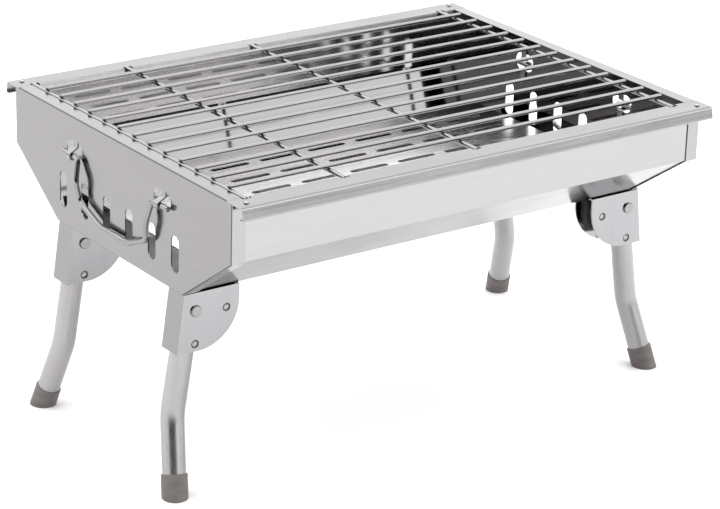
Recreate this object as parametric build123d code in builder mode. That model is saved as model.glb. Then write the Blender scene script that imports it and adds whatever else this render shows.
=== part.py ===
"""Folding stainless camp grill.

The fire box is a trough of bent sheet between two hexagonal end pans, closed round its
top by two long hooked rails.  A welded bar grate sits in notches of the rails and a slotted
charcoal plate rests between the sloping walls.  Four tube legs fold inwards about rivets in
channel brackets under the corners, and a wire bail handle hangs on each end pan.

Frame: millimetres, X along the box, -Y the front, +Z up, origin on the floor below the centre.
"""
from build123d import *
from math import cos, radians, sin, tan
import os

# ---------------------------------------------------------------- driving dimensions
BODY_LENGTH = 410.0        # over the outer faces of the end pans
BODY_WIDTH = 290.0         # over the upright walls
FLOOR_WIDTH = 170.0        # of the flat bottom
RIM_Z = 232.0              # top of the sheet rim above the floor
FOLD_Z = 188.0             # where the upright walls turn inwards
BASE_Z = 146.0             # underside of the fire box

SHEET = 0.8                # body sheet
FLANGE = 0.8               # flanges of the end pans, lapped over the walls
PLATE = 1.2                # leg bracket sheet
BEND = 1.2                 # outer radius of a sheet bend
EDGE_GAP = 0.2             # left between sheet edges that meet
OVERCUT = 1.0              # how far a cutter runs past what it cuts

PAN_DEPTH = 11.0           # how far the end pans' flanges reach inwards
SEAM_WIDTH = 21.0          # of the walls' bottom flanges

VENT_COUNT = 6             # upright slots in each end pan
VENT_PITCH = 30.2
VENT_LENGTH = 27.0
VENT_WIDTH = 10.0
VENT_Z = 173.0

RAIL_INNER = 139.0         # half width between the rails
RAIL_WIDTH = 17.8
RAIL_BEND = 2.0
RAIL_LIP = 9.2             # depth of the outer lip
RAIL_FLARE = 2.0           # how far the outer lip leans out
RAIL_RETURN = 4.0          # flange at the bottom of the outer lip
RAIL_DROP = 7.0            # depth of the inner lip
RAIL_LIP_REACH = 193.6     # half length of the inner lip
TAB_REACH = 194.9          # where the end pans' corner tabs begin
TAB_OUTER = 154.0
TAB_GAP = 1.0              # between a tab and the walls' cut-back edge
RAIL_RIVET_X = 196.8
RAIL_RIVET_Y = 149.5
RAIL_RIVET_RADIUS = 1.2
RAIL_HEAD_RADIUS = 1.9
RAIL_HEAD_ROUND = 0.5

BAR_COUNT = 13
BAR_PITCH = 20.2
BAR_RADIUS = 1.5
BAR_ENDS = (-192.8, 187.0)
BAR_TIP_ROUND = 1.2
CROSS_RADIUS = 1.6
CROSS_X = (-191.2, -112.0, 0.0, 181.0)
CROSS_Z = 231.0
CROSS_HALF_LENGTH = 141.6
WELD_SINK = 0.3            # how far a bar melts into the wire below it
NOTCH_WIDTH = 7.0
NOTCH_DEPTH = 3.4
NOTCH_FLOOR_Z = 229.0

TRAY_LENGTH = 376.0
TRAY_HALF_WIDTH = 98.8
TRAY_Z = 166.0             # top of the charcoal plate
TRAY_LIP = 8.0
TRAY_SLOT_LENGTH = 34.0
TRAY_SLOT_WIDTH = 5.0
TRAY_COLUMNS = 8
TRAY_ROWS = 6
TRAY_PITCH_X = 44.0
TRAY_PITCH_Y = 28.0

TUBE_RADIUS = 8.4
TUBE_WALL = 1.0
TUBE_END_RADIUS = 8.46     # of the rounded upper end, about the pivot
LEG_LEAN = 9.0             # degrees, outwards along X
LEG_SPLAY = 18.0           # degrees, outwards along Y below the knee
LEG_KNEE = 79.8            # from pivot to knee along the tube
KNEE_RADIUS = 46.0
PIVOT_X = 194.0
PIVOT_Y = 75.0
PIVOT_Z = 132.5
PIVOT_RADIUS = 3.0
PIVOT_PLAY = 0.06
PIVOT_HEAD_RADIUS = 4.2
PIVOT_HEAD = 1.5
PIVOT_HEAD_ROUND = 0.6

CAP_RADIUS = 9.4
CAP_HEIGHT = 16.5
CAP_FLOOR = 5.0            # from the tube's cut end to the floor, along the tube
CAP_ROUND = 1.0

CHANNEL_GAP = 0.4          # between the tube and each cheek of its bracket
BRACKET_TOP_Z = 145.7
BRACKET_BOTTOM_Z = 102.4
BRACKET_INNER_X = 158.4
BRACKET_OUTER_X = 203.3
BRACKET_LEAN = 7.5         # degrees, of the outer web
CHEEK_CENTRE = (192.0, 136.0)
CHEEK_RADIUS = 33.6
DIMPLES = ((169.0, 130.0), (194.5, 108.0))
DIMPLE_RADIUS = 3.1
DIMPLE_DEPTH = 0.9
DIMPLE_CORE = 1.9          # radius of the small flat bump on the inner face
DIMPLE_BUMP = 0.1
BRACKET_RIVET_X = (170.0, 197.0)
RIVET_RADIUS = 2.0
RIVET_HEAD_RADIUS = 3.4
RIVET_HEAD = 1.2
COLLAR_RADIUS = 2.7

HANDLE_WIRE = 2.1          # radius
HANDLE_OFFSET = 2.6        # wire centre off the end pan at the hinge
HANDLE_Z = 204.5
HANDLE_TIP_Y = 71.0
HANDLE_TIP_ROUND = 1.0
HANDLE_CORNERS = (         # half the wire's route: bow away from the hinge line, Y, Z
    (0.0, 50.0, 204.5),
    (3.8, 47.0, 187.5),
    (1.6, 45.0, 174.0),
    (1.2, 18.0, 163.6),
)
HANDLE_BENDS = (4.5, 22.0, 7.0, 30.0)
CLIP_Y = 59.0
CLIP_WIDTH = 5.6
CLIP_SHEET = 1.2
CLIP_PLAY = 0.08
CLIP_RISE = 60.0           # degrees round the wire above the level of its centre
CLIP_TAIL_LOW_Z = 192.0
CLIP_TAIL_HIGH_Z = 219.0
CLIP_HOLE_LENGTH = 22.0
CLIP_HOLE_HEIGHT = 14.0
CLIP_HOLE_Z = 207.5

# ---------------------------------------------------------------- worked-out sizes
HALF_LENGTH = BODY_LENGTH / 2
HALF_WIDTH = BODY_WIDTH / 2
HALF_FLOOR = FLOOR_WIDTH / 2
WALL_LENGTH = 2 * (HALF_LENGTH - SHEET)
RIM_UNDER_Z = RIM_Z - SHEET
BAR_Z = CROSS_Z + CROSS_RADIUS + BAR_RADIUS - WELD_SINK
CHANNEL_WIDTH = 2 * (TUBE_RADIUS + CHANNEL_GAP + PLATE)
CHANNEL_OUTER_Y = PIVOT_Y + CHANNEL_WIDTH / 2
LEG_DROP = PIVOT_Z / cos(radians(LEG_LEAN))
SHIN = (LEG_DROP - LEG_KNEE) / cos(radians(LEG_SPLAY))
HANDLE_X = HALF_LENGTH + HANDLE_OFFSET
MIRRORS = {"right": None, "left": Plane.YZ, "back": None, "front": Plane.XZ}

os.makedirs("parts", exist_ok=True)


def save(shape, node):
    """Label a finished piece and write it as the STEP file of its node."""
    shape.label = node
    export_step(shape, f"parts/{node}.step")


def flipped(shape, *sides):
    """Copy of a back-right piece, mirrored to the sides that are named."""
    for side in sides:
        if MIRRORS[side] is not None:
            shape = mirror(shape, about=MIRRORS[side])
    return shape


def body_outline(inset=0.0, top=RIM_Z):
    """Face of the fire box's hexagonal cross-section up to top, moved inwards by inset."""
    outline = Polygon(
        (-HALF_WIDTH, top), (-HALF_WIDTH, FOLD_Z), (-HALF_FLOOR, BASE_Z),
        (HALF_FLOOR, BASE_Z), (HALF_WIDTH, FOLD_Z), (HALF_WIDTH, top),
        align=None, mode=Mode.PRIVATE,
    )
    return offset(outline, amount=-inset, kind=Kind.INTERSECTION, mode=Mode.PRIVATE)


# ---------------------------------------------------------------- end pans
with BuildPart() as end_panel_right:
    with BuildSketch(Plane.YZ.offset(HALF_LENGTH - PAN_DEPTH)):
        add(body_outline())
    extrude(amount=PAN_DEPTH)
    fillet(end_panel_right.faces().sort_by(Axis.X)[-1].edges(), radius=BEND)
    with BuildSketch(Plane.YZ.offset(HALF_LENGTH - PAN_DEPTH)):
        add(body_outline(FLANGE))
    extrude(amount=PAN_DEPTH - SHEET, mode=Mode.SUBTRACT)
    # the rails lie over the corners of the pan
    with BuildSketch(Plane.XY.offset(RIM_UNDER_Z)):
        with Locations((HALF_LENGTH, HALF_WIDTH), (HALF_LENGTH, -HALF_WIDTH)):
            Rectangle(4 * PAN_DEPTH, 2 * (HALF_WIDTH - RAIL_INNER + EDGE_GAP))
    extrude(amount=FLANGE, mode=Mode.SUBTRACT)
    with BuildSketch(Plane.XY.offset(RIM_UNDER_Z - FLANGE)):
        with Locations((HALF_LENGTH, HALF_WIDTH), (HALF_LENGTH, -HALF_WIDTH)):
            Rectangle(2 * PAN_DEPTH, 2 * (HALF_WIDTH - RAIL_INNER + EDGE_GAP))
        with Locations((HALF_LENGTH, 0)):
            Rectangle(2 * SHEET, 2 * HALF_WIDTH, mode=Mode.SUBTRACT)
    extrude(amount=FLANGE, mode=Mode.SUBTRACT)
    # corner tabs under the rails
    with BuildSketch(Plane.XY.offset(RIM_UNDER_Z - SHEET)):
        for side in (-1, 1):
            with Locations((HALF_LENGTH - SHEET / 2, side * RAIL_INNER)):
                Rectangle(
                    HALF_LENGTH - SHEET / 2 - TAB_REACH, TAB_OUTER - RAIL_INNER,
                    align=(Align.MAX, Align.MIN if side > 0 else Align.MAX),
                )
    extrude(amount=SHEET)
    with BuildSketch(Plane.YZ.offset(HALF_LENGTH)):
        with Locations((0, VENT_Z)):
            with GridLocations(VENT_PITCH, VENT_PITCH, VENT_COUNT, 1):
                SlotOverall(VENT_LENGTH, VENT_WIDTH, rotation=90)
        with Locations((CLIP_Y, CLIP_HOLE_Z), (-CLIP_Y, CLIP_HOLE_Z)):
            SlotOverall(CLIP_HOLE_LENGTH, CLIP_HOLE_HEIGHT)
    extrude(amount=-2 * SHEET, mode=Mode.SUBTRACT)
    with BuildSketch(Plane.XY.offset(RIM_UNDER_Z)):
        with Locations((RAIL_RIVET_X, RAIL_RIVET_Y), (RAIL_RIVET_X, -RAIL_RIVET_Y)):
            Circle(RAIL_RIVET_RADIUS)
    extrude(amount=-SHEET, mode=Mode.SUBTRACT)
    with BuildSketch(Plane.XY.offset(BASE_Z)):
        with Locations((BRACKET_RIVET_X[1], PIVOT_Y), (BRACKET_RIVET_X[1], -PIVOT_Y)):
            Circle(RIVET_RADIUS)
    extrude(amount=FLANGE, mode=Mode.SUBTRACT)

save(end_panel_right.part, "end_panel_right")
save(flipped(end_panel_right.part, "left"), "end_panel_left")

# ---------------------------------------------------------------- front and back walls
with BuildPart() as back_wall:
    with BuildSketch(Plane.YZ.offset(-WALL_LENGTH / 2)):
        add(body_outline(FLANGE, top=2 * RIM_Z))
        add(body_outline(FLANGE + SHEET, top=2 * RIM_Z), mode=Mode.SUBTRACT)
        with Locations((HALF_FLOOR - SEAM_WIDTH, BASE_Z)):
            Rectangle(
                HALF_WIDTH, RIM_UNDER_Z - BASE_Z, align=(Align.MIN, Align.MIN), mode=Mode.INTERSECT
            )
    extrude(amount=WALL_LENGTH)
    # the top edge is cut back where the end pans' corner tabs pass over it
    with BuildSketch(Plane.XZ.offset(-HALF_WIDTH)):
        for side in (-1, 1):
            with Locations((side * HALF_LENGTH, RIM_Z)):
                Rectangle(2 * (HALF_LENGTH - TAB_REACH + TAB_GAP), 2 * (2 * SHEET + EDGE_GAP))
    extrude(amount=BODY_WIDTH, mode=Mode.SUBTRACT)
    with BuildSketch(Plane.XY.offset(BASE_Z + FLANGE)):
        for x in BRACKET_RIVET_X:
            with Locations((x, PIVOT_Y), (-x, PIVOT_Y)):
                Circle(RIVET_RADIUS)
    extrude(amount=SHEET, mode=Mode.SUBTRACT)

save(back_wall.part, "back_wall")
save(flipped(back_wall.part, "front"), "front_wall")

# ---------------------------------------------------------------- bottom plate
with BuildPart() as bottom_plate:
    with BuildSketch(Plane.XY.offset(BASE_Z + FLANGE + SHEET)):
        Rectangle(WALL_LENGTH, FLOOR_WIDTH - 2 * FLANGE)
        for x in BRACKET_RIVET_X:
            with GridLocations(2 * x, 2 * PIVOT_Y, 2, 2):
                Circle(RIVET_RADIUS, mode=Mode.SUBTRACT)
    extrude(amount=SHEET)

save(bottom_plate.part, "bottom_plate")

# ---------------------------------------------------------------- top rails
with BuildPart() as back_rail:
    with BuildSketch(Plane.YZ.offset(-HALF_LENGTH)):
        with BuildLine():
            FilletPolyline(
                (RAIL_INNER, RIM_Z - RAIL_DROP),
                (RAIL_INNER, RIM_Z),
                (RAIL_INNER + RAIL_WIDTH, RIM_Z),
                (RAIL_INNER + RAIL_WIDTH + RAIL_FLARE, RIM_Z - RAIL_LIP),
                (RAIL_INNER + RAIL_WIDTH + RAIL_FLARE - RAIL_RETURN, RIM_Z - RAIL_LIP),
                radius=(BEND, RAIL_BEND, BEND),
            )
            offset(amount=SHEET, side=Side.RIGHT)
        make_face()
    extrude(amount=BODY_LENGTH)
    # the inner lip stops short of the end pans
    with BuildSketch(Plane.XZ.offset(-RAIL_INNER + BEND)):
        for side in (-1, 1):
            with Locations((side * HALF_LENGTH, RIM_UNDER_Z)):
                Rectangle(2 * (HALF_LENGTH - RAIL_LIP_REACH), 2 * RAIL_DROP)
                Rectangle(2 * PAN_DEPTH, 4 * RAIL_DROP)
    extrude(amount=-2 * BEND - SHEET, mode=Mode.SUBTRACT)
    with BuildSketch(Plane.YZ.offset(-HALF_LENGTH)):
        with Locations((RAIL_INNER, RIM_Z)):
            Rectangle(3 * BEND, SHEET, align=(Align.MIN, Align.MAX))
    extrude(amount=BODY_LENGTH)
    # notches that take the ends of the grate's cross wires
    with BuildSketch(Plane.XY.offset(NOTCH_FLOOR_Z)):
        for x in CROSS_X:
            with Locations((x, RAIL_INNER)):
                Rectangle(NOTCH_WIDTH, 2 * NOTCH_DEPTH)
    extrude(amount=RIM_Z - NOTCH_FLOOR_Z, mode=Mode.SUBTRACT)
    with BuildSketch(Plane.XY.offset(RIM_Z)):
        with Locations((RAIL_RIVET_X, RAIL_RIVET_Y), (-RAIL_RIVET_X, RAIL_RIVET_Y)):
            Circle(RAIL_RIVET_RADIUS)
    extrude(amount=-SHEET, mode=Mode.SUBTRACT)

save(back_rail.part, "back_rail")
save(flipped(back_rail.part, "front"), "front_rail")


def rivet_section(spans):
    """Half section of a rivet in the XZ plane: (radius, from, to) steps along its axis."""
    for radius, low, high in spans:
        with Locations((0, low)):
            Rectangle(radius, high - low, align=(Align.MIN, Align.MIN))


with BuildPart() as rail_rivet:
    with BuildSketch(Plane.XZ):
        rivet_section((
            (RAIL_RIVET_RADIUS, RIM_Z - 2 * SHEET, RIM_Z),
            (RAIL_HEAD_RADIUS, RIM_Z, RIM_Z + SHEET),
            (RAIL_HEAD_RADIUS, RIM_Z - 3 * SHEET, RIM_Z - 2 * SHEET),
        ))
    revolve(axis=Axis.Z)
    fillet(rail_rivet.faces().sort_by(Axis.Z)[-1].edges(), radius=RAIL_HEAD_ROUND)

with BuildPart() as rail_rivets:
    with GridLocations(2 * RAIL_RIVET_X, 2 * RAIL_RIVET_Y, 2, 2):
        add(rail_rivet.part)

save(rail_rivets.part, "rail_rivets")

# ---------------------------------------------------------------- grate
with BuildPart() as grate_bars:
    with BuildSketch(Plane.YZ.offset(BAR_ENDS[0])):
        with Locations((0, BAR_Z)):
            with GridLocations(BAR_PITCH, BAR_PITCH, BAR_COUNT, 1):
                Circle(BAR_RADIUS)
    extrude(amount=BAR_ENDS[1] - BAR_ENDS[0])
    tips = grate_bars.faces().filter_by(GeomType.PLANE).edges()
    fillet(tips, radius=BAR_TIP_ROUND)

save(grate_bars.part, "grate_bars")

with BuildPart() as grate_cross_wires:
    with BuildSketch(Plane.XZ.offset(-CROSS_HALF_LENGTH)):
        for x in CROSS_X:
            with Locations((x, CROSS_Z)):
                Circle(CROSS_RADIUS)
    extrude(amount=2 * CROSS_HALF_LENGTH)

save(grate_cross_wires.part, "grate_cross_wires")

# ---------------------------------------------------------------- charcoal plate
with BuildPart() as charcoal_plate:
    with BuildSketch(Plane.YZ.offset(-TRAY_LENGTH / 2)):
        with BuildLine():
            FilletPolyline(
                (-TRAY_HALF_WIDTH, TRAY_Z - TRAY_LIP),
                (-TRAY_HALF_WIDTH, TRAY_Z),
                (TRAY_HALF_WIDTH, TRAY_Z),
                (TRAY_HALF_WIDTH, TRAY_Z - TRAY_LIP),
                radius=BEND,
            )
            offset(amount=SHEET, side=Side.RIGHT)
        make_face()
    extrude(amount=TRAY_LENGTH)
    with BuildSketch(Plane.XY.offset(TRAY_Z)):
        with GridLocations(TRAY_PITCH_X, TRAY_PITCH_Y, TRAY_COLUMNS, TRAY_ROWS):
            SlotOverall(TRAY_SLOT_LENGTH, TRAY_SLOT_WIDTH)
    extrude(amount=-2 * SHEET, mode=Mode.SUBTRACT)

save(charcoal_plate.part, "charcoal_plate")

# ---------------------------------------------------------------- leg brackets
LEAN_SHIFT = (BRACKET_TOP_Z - BRACKET_BOTTOM_Z) * tan(radians(BRACKET_LEAN))
WEB_INSET = PLATE / cos(radians(BRACKET_LEAN))
DIMPLE_BALL = (DIMPLE_RADIUS**2 + DIMPLE_DEPTH**2) / (2 * DIMPLE_DEPTH)

with BuildPart() as leg_bracket:
    with BuildSketch(Plane.XZ.offset(-CHANNEL_OUTER_Y)):
        with BuildLine():
            right = BRACKET_OUTER_X + LEAN_SHIFT
            corner = (BRACKET_INNER_X, CHEEK_CENTRE[1])
            foot = (CHEEK_CENTRE[0], BRACKET_BOTTOM_Z)
            Polyline(
                corner, (BRACKET_INNER_X, BRACKET_TOP_Z), (BRACKET_OUTER_X, BRACKET_TOP_Z),
                (right, BRACKET_BOTTOM_Z), foot,
            )
            RadiusArc(foot, corner, CHEEK_RADIUS)
        make_face()
    extrude(amount=CHANNEL_WIDTH)
    with BuildSketch(Plane.XZ.offset(PLATE - CHANNEL_OUTER_Y)):
        with BuildLine():
            Polyline(
                (BRACKET_INNER_X - OVERCUT, BRACKET_TOP_Z - PLATE),
                (BRACKET_OUTER_X - WEB_INSET, BRACKET_TOP_Z - PLATE),
                (BRACKET_OUTER_X - WEB_INSET + LEAN_SHIFT, BRACKET_BOTTOM_Z),
                (BRACKET_INNER_X - OVERCUT, BRACKET_BOTTOM_Z),
                close=True,
            )
        make_face()
    extrude(amount=CHANNEL_WIDTH - 2 * PLATE, mode=Mode.SUBTRACT)
    with BuildSketch(Plane.XZ.offset(-CHANNEL_OUTER_Y)):
        with Locations((PIVOT_X, PIVOT_Z)):
            Circle(PIVOT_RADIUS)
    extrude(amount=CHANNEL_WIDTH, mode=Mode.SUBTRACT)
    with BuildSketch(Plane.XY.offset(BRACKET_TOP_Z)):
        for x in BRACKET_RIVET_X:
            with Locations((x, PIVOT_Y)):
                Circle(RIVET_RADIUS)
    extrude(amount=-PLATE, mode=Mode.SUBTRACT)
    # detent dimples pressed inwards through both cheeks
    for side in (-1, 1):
        cheek_y = PIVOT_Y + side * CHANNEL_WIDTH / 2
        for x, z in DIMPLES:
            with Locations((x, cheek_y + side * (DIMPLE_BALL - DIMPLE_DEPTH), z)):
                Sphere(DIMPLE_BALL, mode=Mode.SUBTRACT)
        with BuildSketch(Plane.XZ.offset(side * PLATE - cheek_y)):
            with Locations(*DIMPLES):
                Circle(DIMPLE_CORE)
        extrude(amount=side * DIMPLE_BUMP)

for end in ("left", "right"):
    for side in ("front", "back"):
        save(flipped(leg_bracket.part, end, side), f"leg_bracket_{side}_{end}")

# ---------------------------------------------------------------- bracket and pivot rivets
with BuildPart() as bracket_rivet:
    floor_top = BASE_Z + FLANGE + 2 * SHEET
    tab_under = BRACKET_TOP_Z - PLATE
    with BuildSketch(Plane.XZ):
        rivet_section((
            (RIVET_RADIUS, tab_under, floor_top),
            (RIVET_HEAD_RADIUS, tab_under - RIVET_HEAD, tab_under),
            (RIVET_HEAD_RADIUS, floor_top, floor_top + RIVET_HEAD),
        ))
    revolve(axis=Axis.Z)

with BuildPart() as bracket_rivets:
    for x in BRACKET_RIVET_X:
        with GridLocations(2 * x, 2 * PIVOT_Y, 2, 2):
            add(bracket_rivet.part)
    # collars that keep the bracket off the fire box
    for x, collar_top in zip(BRACKET_RIVET_X, (BASE_Z + FLANGE, BASE_Z)):
        with BuildSketch(Plane.XY.offset(BRACKET_TOP_Z)):
            with GridLocations(2 * x, 2 * PIVOT_Y, 2, 2):
                Circle(COLLAR_RADIUS)
        extrude(amount=collar_top - BRACKET_TOP_Z)

save(bracket_rivets.part, "bracket_rivets")

with BuildPart() as pivot_rivet:
    head_y = CHANNEL_WIDTH / 2
    with BuildSketch(Plane.XY):
        Rectangle(PIVOT_RADIUS, 2 * head_y, align=(Align.MIN, Align.CENTER))
        with Locations((0, head_y)):
            Rectangle(PIVOT_HEAD_RADIUS, PIVOT_HEAD, align=(Align.MIN, Align.MIN))
        with Locations((0, -head_y)):
            Rectangle(PIVOT_HEAD_RADIUS, PIVOT_HEAD, align=(Align.MIN, Align.MAX))
    revolve(axis=Axis.Y)
    rims = pivot_rivet.edges().filter_by(GeomType.CIRCLE).group_by(Axis.Y)
    fillet(rims[0] + rims[-1], radius=PIVOT_HEAD_ROUND)

with BuildPart() as pivot_rivets:
    with Locations(Plane.XY.offset(PIVOT_Z)):
        with GridLocations(2 * PIVOT_X, 2 * PIVOT_Y, 2, 2):
            add(pivot_rivet.part)

save(pivot_rivets.part, "pivot_rivets")

# ---------------------------------------------------------------- legs
LEG_PLANE = Plane(
    origin=(PIVOT_X, PIVOT_Y, PIVOT_Z),
    x_dir=(sin(radians(LEG_LEAN)), 0, -cos(radians(LEG_LEAN))),
    z_dir=(cos(radians(LEG_LEAN)), 0, sin(radians(LEG_LEAN))),
)
SHIN_DIRECTION = (cos(radians(LEG_SPLAY)), sin(radians(LEG_SPLAY)))


def on_shin(distance):
    """Point on the leg's lower centre line, at a distance below the knee."""
    return (LEG_KNEE + distance * SHIN_DIRECTION[0], distance * SHIN_DIRECTION[1])


SHIN_PLANE = Plane(
    origin=LEG_PLANE.from_local_coords((*on_shin(0), 0)),
    z_dir=LEG_PLANE.from_local_coords((*on_shin(1), 0)) - LEG_PLANE.from_local_coords((*on_shin(0), 0)),
)
TUBE_END = SHIN - CAP_FLOOR
PIVOT_PLANE = Plane(origin=(PIVOT_X, PIVOT_Y, PIVOT_Z), x_dir=LEG_PLANE.x_dir, z_dir=(0, 1, 0))

with BuildPart() as leg_tube:
    with BuildLine(LEG_PLANE) as leg_line:
        FilletPolyline(
            (-TUBE_END_RADIUS - OVERCUT, 0), (LEG_KNEE, 0), on_shin(TUBE_END), radius=KNEE_RADIUS
        )
    top = leg_line.line @ 0
    with BuildSketch(Plane(origin=top, z_dir=leg_line.line % 0)):
        Circle(TUBE_RADIUS)
        Circle(TUBE_RADIUS - TUBE_WALL, mode=Mode.SUBTRACT)
    sweep()
    # the upper end is rounded off about the pivot
    shoulder = (TUBE_END_RADIUS**2 - TUBE_RADIUS**2) ** 0.5
    with BuildSketch(PIVOT_PLANE.offset(-TUBE_RADIUS - OVERCUT)):
        with Locations((-shoulder, 0)):
            Rectangle(3 * TUBE_RADIUS, 4 * TUBE_RADIUS, align=(Align.MAX, Align.CENTER))
        Circle(TUBE_END_RADIUS, mode=Mode.SUBTRACT)
    extrude(amount=2 * (TUBE_RADIUS + OVERCUT), mode=Mode.SUBTRACT)
    with BuildSketch(PIVOT_PLANE.offset(-TUBE_RADIUS)):
        Circle(PIVOT_RADIUS + PIVOT_PLAY)
    extrude(amount=2 * TUBE_RADIUS, mode=Mode.SUBTRACT)

with BuildPart() as foot_cap:
    with BuildSketch(SHIN_PLANE.offset(SHIN - CAP_HEIGHT)):
        Circle(CAP_RADIUS)
    extrude(amount=2 * CAP_HEIGHT)
    fillet(foot_cap.faces().sort_by(Axis.Z)[-1].edges(), radius=CAP_ROUND)
    with BuildSketch(SHIN_PLANE.offset(SHIN - CAP_HEIGHT)):
        Circle(TUBE_RADIUS)
    extrude(amount=TUBE_END - SHIN + CAP_HEIGHT, mode=Mode.SUBTRACT)
    split(bisect_by=Plane.XY, keep=Keep.TOP)

for end in ("left", "right"):
    for side in ("front", "back"):
        save(flipped(leg_tube.part, end, side), f"leg_tube_{side}_{end}")
        save(flipped(foot_cap.part, end, side), f"foot_cap_{side}_{end}")

# ---------------------------------------------------------------- bail handles
HANDLE_ROUTE = [(HANDLE_X, HANDLE_TIP_Y, HANDLE_Z)]
HANDLE_ROUTE += [(HANDLE_X + bow, y, z) for bow, y, z in HANDLE_CORNERS]

with BuildPart() as handle:
    with BuildLine() as handle_line:
        mirrored_route = [(x, -y, z) for x, y, z in reversed(HANDLE_ROUTE)]
        FilletPolyline(*HANDLE_ROUTE, *mirrored_route, radius=HANDLE_BENDS + HANDLE_BENDS[::-1])
    with BuildSketch(Plane(origin=handle_line.line @ 0, z_dir=handle_line.line % 0)):
        Circle(HANDLE_WIRE)
    sweep()
    fillet(handle.faces().filter_by(GeomType.PLANE).edges(), radius=HANDLE_TIP_ROUND)

save(handle.part, "handle_right")
save(flipped(handle.part, "left"), "handle_left")

# ---------------------------------------------------------------- handle clips
CLIP_RADIUS = HANDLE_WIRE + CLIP_PLAY + CLIP_SHEET / 2
TAIL_X = HALF_LENGTH - SHEET - CLIP_SHEET / 2

with BuildPart() as clip:
    with BuildSketch(Plane.XZ.offset(-CLIP_Y - CLIP_WIDTH / 2)):
        with BuildLine() as clip_line:
            low = (HANDLE_X, HANDLE_Z - CLIP_RADIUS)
            arc = CenterArc((HANDLE_X, HANDLE_Z), CLIP_RADIUS, -90, 90 + CLIP_RISE)
            high = arc @ 1
            slope = tan(radians(90 - CLIP_RISE))
            bend = (TAIL_X, high.Y + (high.X - TAIL_X) * slope)
            FilletPolyline(low, (TAIL_X, low[1]), (TAIL_X, CLIP_TAIL_LOW_Z), radius=CLIP_SHEET)
            FilletPolyline(high, bend, (TAIL_X, CLIP_TAIL_HIGH_Z), radius=CLIP_SHEET)
            offset(amount=CLIP_SHEET / 2, side=Side.BOTH)
        make_face()
    extrude(amount=CLIP_WIDTH)

for end in ("left", "right"):
    with BuildPart() as handle_clips:
        for side in ("front", "back"):
            add(flipped(clip.part, end, side))
    save(handle_clips.part, f"handle_clips_{end}")
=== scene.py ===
"""Looks of the folding camp grill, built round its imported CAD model. Metres, +Z up, -Y the front."""
import math

import bpy
from mathutils import Matrix, Vector

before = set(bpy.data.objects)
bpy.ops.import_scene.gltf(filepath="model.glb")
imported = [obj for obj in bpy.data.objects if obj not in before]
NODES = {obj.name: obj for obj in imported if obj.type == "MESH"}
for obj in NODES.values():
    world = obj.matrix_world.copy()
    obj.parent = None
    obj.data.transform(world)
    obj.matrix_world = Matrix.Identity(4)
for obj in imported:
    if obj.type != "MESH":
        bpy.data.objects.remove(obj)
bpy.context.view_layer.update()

# ---------------------------------------------------------------- camera
CAMERA_PLACE = Vector((-1.1265, -1.5484, 0.8558))
CAMERA_YAW = math.radians(36.17)       # from +Y towards +X
CAMERA_DIP = math.radians(21.39)
CAMERA_ROLL = math.radians(1.71)
CAMERA_LENS = 137.4                    # mm
SENSOR_WIDTH = 36.0                    # mm
CAMERA_NEAR = 0.05                     # nearest distance drawn


def add_camera():
    """Long-lens camera in front, to the left and above."""
    forward = Vector((
        math.sin(CAMERA_YAW) * math.cos(CAMERA_DIP),
        math.cos(CAMERA_YAW) * math.cos(CAMERA_DIP),
        -math.sin(CAMERA_DIP),
    ))
    level = forward.cross(Vector((0, 0, 1))).normalized()
    upright = level.cross(forward)
    right = math.cos(CAMERA_ROLL) * level + math.sin(CAMERA_ROLL) * upright
    up = math.cos(CAMERA_ROLL) * upright - math.sin(CAMERA_ROLL) * level
    data = bpy.data.cameras.new("camera")
    data.sensor_width = SENSOR_WIDTH
    data.lens = CAMERA_LENS
    data.clip_start = CAMERA_NEAR
    data.dof.use_dof = False
    camera = bpy.data.objects.new("camera", data)
    bpy.context.scene.collection.objects.link(camera)
    turn = Matrix((right, up, -forward)).transposed().to_4x4()
    camera.matrix_world = Matrix.Translation(CAMERA_PLACE) @ turn
    bpy.context.scene.camera = camera


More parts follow.
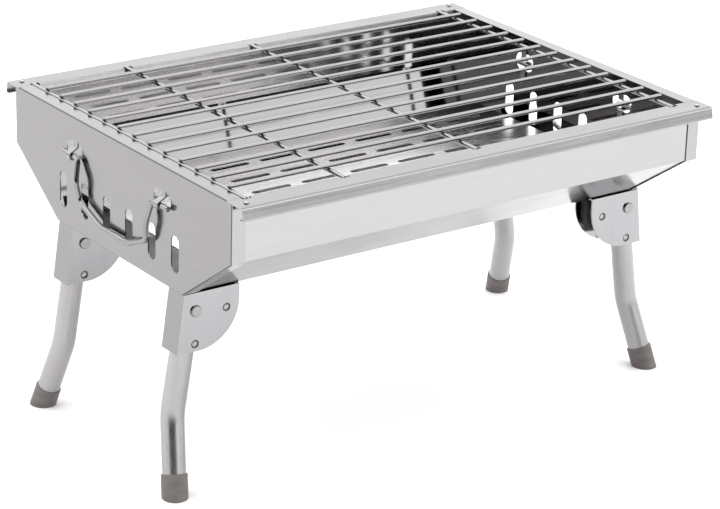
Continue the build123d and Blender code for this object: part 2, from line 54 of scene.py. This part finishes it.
# ---------------------------------------------------------------- node helpers
class Nodes:
    """Short calls for building one node tree."""

    def __init__(self, tree):
        self.tree = tree
        tree.nodes.clear()

    def add(self, kind, **values):
        """A node with its properties set; values that name an input socket are set on it or linked."""
        node = self.tree.nodes.new(kind)
        for key, value in values.items():
            if hasattr(node, key):
                setattr(node, key, value)
            else:
                self.put(node, key, value)
        return node

    def put(self, node, key, value):
        """Set or link one input, by its name with underscores or by its number."""
        if key.startswith("in"):
            socket = node.inputs[int(key[2:])]
        else:
            socket = node.inputs[key.replace("_", " ")]
        if isinstance(value, bpy.types.NodeSocket):
            self.tree.links.new(value, socket)
        else:
            socket.default_value = value

    def scaled(self, scale):
        """Object coordinates stretched by a scale per axis, in cycles per metre."""
        coords = self.add("ShaderNodeTexCoord").outputs["Object"]
        return self.add("ShaderNodeMapping", in0=coords, in3=scale).outputs[0]

    def noise(self, scale, detail=2.0, rough=0.5):
        """Noise between 0 and 1 with the given cycles per metre on each axis."""
        node = self.add("ShaderNodeTexNoise", in2=1.0)
        self.put(node, "Vector", self.scaled(scale))
        node.inputs["Detail"].default_value = detail
        node.inputs["Roughness"].default_value = rough
        return node.outputs["Fac"]

    def span(self, value, low, high, start=0.3, end=0.7):
        """Map value from start..end to low..high."""
        return self.add("ShaderNodeMapRange", in0=value, in1=start, in2=end, in3=low, in4=high).outputs[0]

    def math(self, operation, a, b):
        """Two numbers combined."""
        return self.add("ShaderNodeMath", operation=operation, in0=a, in1=b).outputs[0]

    def bump(self, height, distance, normal=None):
        """Surface normal tilted by a height field whose full range is distance metres."""
        node = self.add("ShaderNodeBump", Height=height, Distance=distance, Strength=1.0)
        if normal is not None:
            self.put(node, "Normal", normal)
        return node.outputs[0]

    def mixed_colour(self, factor, first, second):
        """Colour between two colours, each a triple or a socket."""
        node = self.add("ShaderNodeMix", data_type="RGBA", in0=factor)
        for socket, colour in zip([s for s in node.inputs if s.type == "RGBA"], (first, second)):
            if isinstance(colour, bpy.types.NodeSocket):
                self.tree.links.new(colour, socket)
            else:
                socket.default_value = (*colour, 1)
        return next(s for s in node.outputs if s.type == "RGBA")

    def between(self, factor, first, second):
        """Number between two numbers."""
        return self.add("ShaderNodeMapRange", in0=factor, in1=0.0, in2=1.0, in3=first, in4=second).outputs[0]

    def dot(self, vector, direction):
        """Dot product of a vector socket and a fixed direction."""
        node = self.add("ShaderNodeVectorMath", operation="DOT_PRODUCT", in0=vector, in1=direction)
        return node.outputs["Value"]

    def leaning(self, direction):
        """Cosine of the angle between the surface normal and a direction of the piece."""
        return self.dot(self.add("ShaderNodeTexCoord").outputs["Normal"], direction)

    def facing(self, direction):
        """1 on faces whose normal points along a direction of the piece, 0 on the others."""
        return self.span(self.leaning(direction), 0.0, 1.0, 0.45, 0.75)

    def rounded(self, axis):
        """1 where the normal leans well off an axis but not square to it, 0 on flat faces and sides."""
        lean = self.math("ABSOLUTE", self.leaning(axis), 0.0)
        off_sides = self.span(lean, 0.0, 1.0, 0.45, 0.6)
        off_flats = self.span(lean, 1.0, 0.0, 0.9, 0.98)
        return self.math("MULTIPLY", off_sides, off_flats)


def new_material(name):
    """An empty material and its node helper, shader already linked to the output."""
    material = bpy.data.materials.new(name)
    material.use_nodes = True
    nodes = Nodes(material.node_tree)
    shader = nodes.add("ShaderNodeBsdfPrincipled")
    nodes.add("ShaderNodeOutputMaterial", Surface=shader.outputs[0])
    return material, nodes, shader


PAINTED_EDGE_SHADE = (0.045, 0.042, 0.04)           # painted shade in dimples and round the rivet heads
ALONG_GRAIN = 14.0                     # noise scales, in cycles per metre
ACROSS_GRAIN = 1100.0
ACROSS_BANDS = 160.0
STAIN_SCALE = (16, 16, 16)
RIPPLE_SCALE = (9, 9, 9)
SKIN_SCALE = (2600, 2600, 2600)
SCUFF_SCALE = (90, 90, 220)
GRAIN_DEPTH = 0.000012                 # metres
RIPPLE_DEPTH = 0.0009
SKIN_DEPTH = 0.00005
SCUFF_DEPTH = 0.00025
STAIN_ROUGHNESS = 0.05                 # roughness that a smudge adds


def steel(name, colour, rough, grain_axis="X", grain=1.0, ripple=1.0, shaded_sides=(),
          edge_shade_axis=None, edge_shade=PAINTED_EDGE_SHADE):
    """Stainless steel: fine grain along one axis, faint smudges and the slow ripple of thin sheet.

    Faces turned along each listed side, (direction, colour, roughness), get its roughness and its colour,
    painted light and shade. Rounded edges off the edge-shade axis get painted shade of the edge-shade
    colour.
    """
    material, nodes, shader = new_material(name)
    fine_scale = [ALONG_GRAIN if axis == grain_axis else ACROSS_GRAIN for axis in "XYZ"]
    band_scale = [ALONG_GRAIN if axis == grain_axis else ACROSS_BANDS for axis in "XYZ"]
    streaks = nodes.math("MULTIPLY", nodes.noise(fine_scale, detail=3.0, rough=0.6), 0.6)
    bands = nodes.math("MULTIPLY", nodes.noise(band_scale, detail=2.0), 0.4)
    mixed = nodes.math("ADD", streaks, bands)
    tint = nodes.add("ShaderNodeRGB").outputs[0]
    tint.default_value = (*colour, 1)
    base_rough = rough
    # painted light and shade: faces turned along a listed side take that side's colour
    for direction, side_colour, side_rough in shaded_sides:
        part = nodes.facing(direction)
        tint = nodes.mixed_colour(part, tint, side_colour)
        base_rough = nodes.between(part, base_rough, side_rough)
    # painted shade: rounded edges off the axis darkened, as in dimples, rivet heads and bends
    if edge_shade_axis is not None:
        tint = nodes.mixed_colour(nodes.rounded(edge_shade_axis), tint, edge_shade)
    shade = nodes.span(mixed, 1 - 0.06 * grain, 1 + 0.05 * grain)
    shaded = nodes.add("ShaderNodeVectorMath", operation="SCALE", in0=tint, in3=shade)
    nodes.put(shader, "Base Color", shaded.outputs[0])
    shader.inputs["Metallic"].default_value = 1.0
    uneven = nodes.span(mixed, 1 - 0.25 * grain, 1 + 0.35 * grain)
    spread = nodes.math("MULTIPLY", uneven, base_rough)
    stains = nodes.noise(STAIN_SCALE, detail=4.0, rough=0.55)
    film = nodes.span(stains, 0, STAIN_ROUGHNESS, 0.45, 0.75)
    nodes.put(shader, "Roughness", nodes.math("ADD", spread, film))
    wavy = nodes.bump(nodes.noise(RIPPLE_SCALE, detail=1.0), RIPPLE_DEPTH * ripple)
    nodes.put(shader, "Normal", nodes.bump(mixed, GRAIN_DEPTH * grain, wavy))
    return material


def rubber(name, dark, light):
    """Moulded rubber with a fine matt skin and dusty scuffs."""
    material, nodes, shader = new_material(name)
    skin = nodes.noise(SKIN_SCALE, detail=2.0)
    scuffs = nodes.noise(SCUFF_SCALE, detail=5.0, rough=0.65)
    nodes.put(shader, "Base Color", nodes.mixed_colour(nodes.span(scuffs, 0, 1), dark, light))
    nodes.put(shader, "Roughness", nodes.span(scuffs, 0.55, 0.78))
    shader.inputs["Specular IOR Level"].default_value = 0.35
    soft = nodes.bump(scuffs, SCUFF_DEPTH)
    nodes.put(shader, "Normal", nodes.bump(skin, SKIN_DEPTH, soft))
    return material


# ---------------------------------------------------------------- materials of the CAD nodes
PAINTED_BEND_SHADE = (0.10, 0.095, 0.093)       # painted shade along the pans' bends
UNDER = (0, 0, -1)
OVER = (0, 0, 1)
ALONG_Y = (0, 1, 0)


def pan(name, outwards):
    """Finish of an end pan: satin outside, buffed inside, bright flanges; its darker faces and bends are
    painted shade.
    """
    # painted shade: outside, inside and tops darker than the flanges, the inside darkest
    outer = (outwards, (0.240, 0.233, 0.236), 0.13)
    inner = ((-outwards[0], 0, 0), (0.13, 0.122, 0.12), 0.045)
    rim = (OVER, (0.165, 0.165, 0.167), 0.16)
    return steel(name, (0.36, 0.355, 0.355), 0.10, "Y", grain=0.7, ripple=0.5,
                 shaded_sides=(outer, inner, rim), edge_shade_axis=outwards, edge_shade=PAINTED_BEND_SHADE)


PAN_LEFT = pan("satin_pan_left_painted_shade", (-1, 0, 0))
PAN_RIGHT = pan("satin_pan_right_painted_shade", (1, 0, 0))
# painted shade: faces turned down, and less so faces turned up, darker than the front
POLISHED = steel("polished_wall", (0.40, 0.393, 0.395), 0.055, "X", grain=0.5, ripple=0.5,
                 shaded_sides=((UNDER, (0.112, 0.1136, 0.1168), 0.14), (OVER, (0.24, 0.238, 0.242), 0.07)))
TRAY = steel("buffed_tray", (0.80, 0.787, 0.787), 0.22, "X", grain=0.6, ripple=0.6)
FLOOR_PLATE = steel("buffed_bottom", (0.78, 0.77, 0.77), 0.35, "X", grain=0.6, ripple=0.4)


def rail(name, inwards):
    """Finish of a top rail: brushed, with a painted highlight on its satin inner lip and painted shade on
    top.
    """
    # painted shade on the top, painted highlight on the inner lip
    top = (OVER, (0.185, 0.187, 0.190), 0.26)
    inner = (inwards, (0.88, 0.88, 0.885), 0.34)
    return steel(name, (0.34, 0.34, 0.343), 0.24, "X", ripple=0.3, shaded_sides=(top, inner))


RAIL_FRONT = rail("brushed_rail_front", (0, 1, 0))
RAIL_BACK = rail("brushed_rail_back", (0, -1, 0))
# painted shade: webs darker than the cheeks, dimple walls and rounded edges darker still
BRACKET = steel("bracket_plate", (0.345, 0.345, 0.355), 0.10, "Z", grain=0.7, ripple=0.5, edge_shade_axis=ALONG_Y,
                shaded_sides=[(web, (0.235, 0.228, 0.226), 0.12) for web in ((-1, 0, 0), (1, 0, 0))])
TUBE = steel("leg_tube", (0.35, 0.341, 0.341), 0.29, "Z", grain=0.6, ripple=0.2)
WIRE = steel("bright_wire", (0.255, 0.248, 0.25), 0.12, "X", grain=0.4, ripple=0.0)
BAIL = steel("bail_wire", (0.24, 0.233, 0.23), 0.06, "Z", grain=0.3, ripple=0.0)
# painted shade: the rounded edges of the rivet heads are darkened
RIVET = steel("upright_rivet", (0.30, 0.30, 0.305), 0.16, "Y", grain=0.5, ripple=0.0, edge_shade_axis=OVER)
PIVOT = steel("pivot_rivet", (0.30, 0.30, 0.305), 0.16, "Y", grain=0.5, ripple=0.0, edge_shade_axis=ALONG_Y)
RUBBER = rubber("foot_rubber", (0.112, 0.099, 0.096), (0.172, 0.155, 0.151))

FINISHES = {
    "end_panel_left": PAN_LEFT, "end_panel_right": PAN_RIGHT, "front_wall": POLISHED, "back_wall": POLISHED,
    "bottom_plate": FLOOR_PLATE, "charcoal_plate": TRAY, "front_rail": RAIL_FRONT,
    "back_rail": RAIL_BACK,
    "leg_bracket": BRACKET, "leg_tube": TUBE, "foot_cap": RUBBER, "grate": WIRE, "handle_clips": WIRE,
    "handle": BAIL, "rail_rivets": RIVET, "bracket_rivets": RIVET, "pivot_rivets": PIVOT,
}


def finish_cad_nodes():
    """Give every CAD node the material of its kind."""
    for name, node in NODES.items():
        kind = next(key for key in FINISHES if name.startswith(key))
        for slot in node.material_slots:
            slot.material = FINISHES[kind]


# ---------------------------------------------------------------- studio
DARK_SIDE = Vector((-0.55, -0.75, 0.365)).normalized()   # the middle of the unlit side
DARK_EDGES = (0.68, 0.92)              # cosines from it where the light begins to fade and is gone
SKY = 2.4                              # strength of the dome
DARK = 0.05                            # strength in the unlit side
HORIZON = 0.22                         # share of the light left at the horizon
HORIZON_BAND = (0.04, 0.20)            # sines of the heights between which it rises to the whole
FLOOR_SIZE = 14.0


def add_studio():
    """Pale floor under an even white dome with one unlit side."""
    bpy.ops.mesh.primitive_plane_add(size=FLOOR_SIZE, location=(0, 0, 0))
    floor = bpy.context.object
    floor.name = "floor"
    material, nodes, shader = new_material("floor")
    tone = nodes.noise((3, 3, 3), detail=3.0)
    nodes.put(shader, "Base Color", nodes.mixed_colour(tone, (0.90, 0.90, 0.90), (0.93, 0.93, 0.93)))
    shader.inputs["Roughness"].default_value = 0.9
    shader.inputs["Specular IOR Level"].default_value = 0.1
    floor.data.materials.append(material)

    world = bpy.data.worlds.new("studio")
    bpy.context.scene.world = world
    world.use_nodes = True
    nodes = Nodes(world.node_tree)
    way = nodes.add("ShaderNodeTexCoord").outputs["Generated"]
    level = nodes.add(
        "ShaderNodeMapRange", interpolation_type="SMOOTHSTEP", in0=nodes.dot(way, DARK_SIDE),
        in1=DARK_EDGES[0], in2=DARK_EDGES[1], in3=SKY, in4=DARK,
    ).outputs[0]
    height = nodes.add("ShaderNodeSeparateXYZ", in0=way).outputs["Z"]
    horizon = nodes.span(height, HORIZON, 1.0, *HORIZON_BAND)
    background = nodes.add("ShaderNodeBackground", Strength=nodes.math("MULTIPLY", level, horizon))
    background.inputs["Color"].default_value = (1.0, 1.0, 1.0, 1)
    nodes.add("ShaderNodeOutputWorld", Surface=background.outputs[0])
    bpy.context.scene.view_settings.view_transform = "Standard"


finish_cad_nodes()
add_camera()
add_studio()
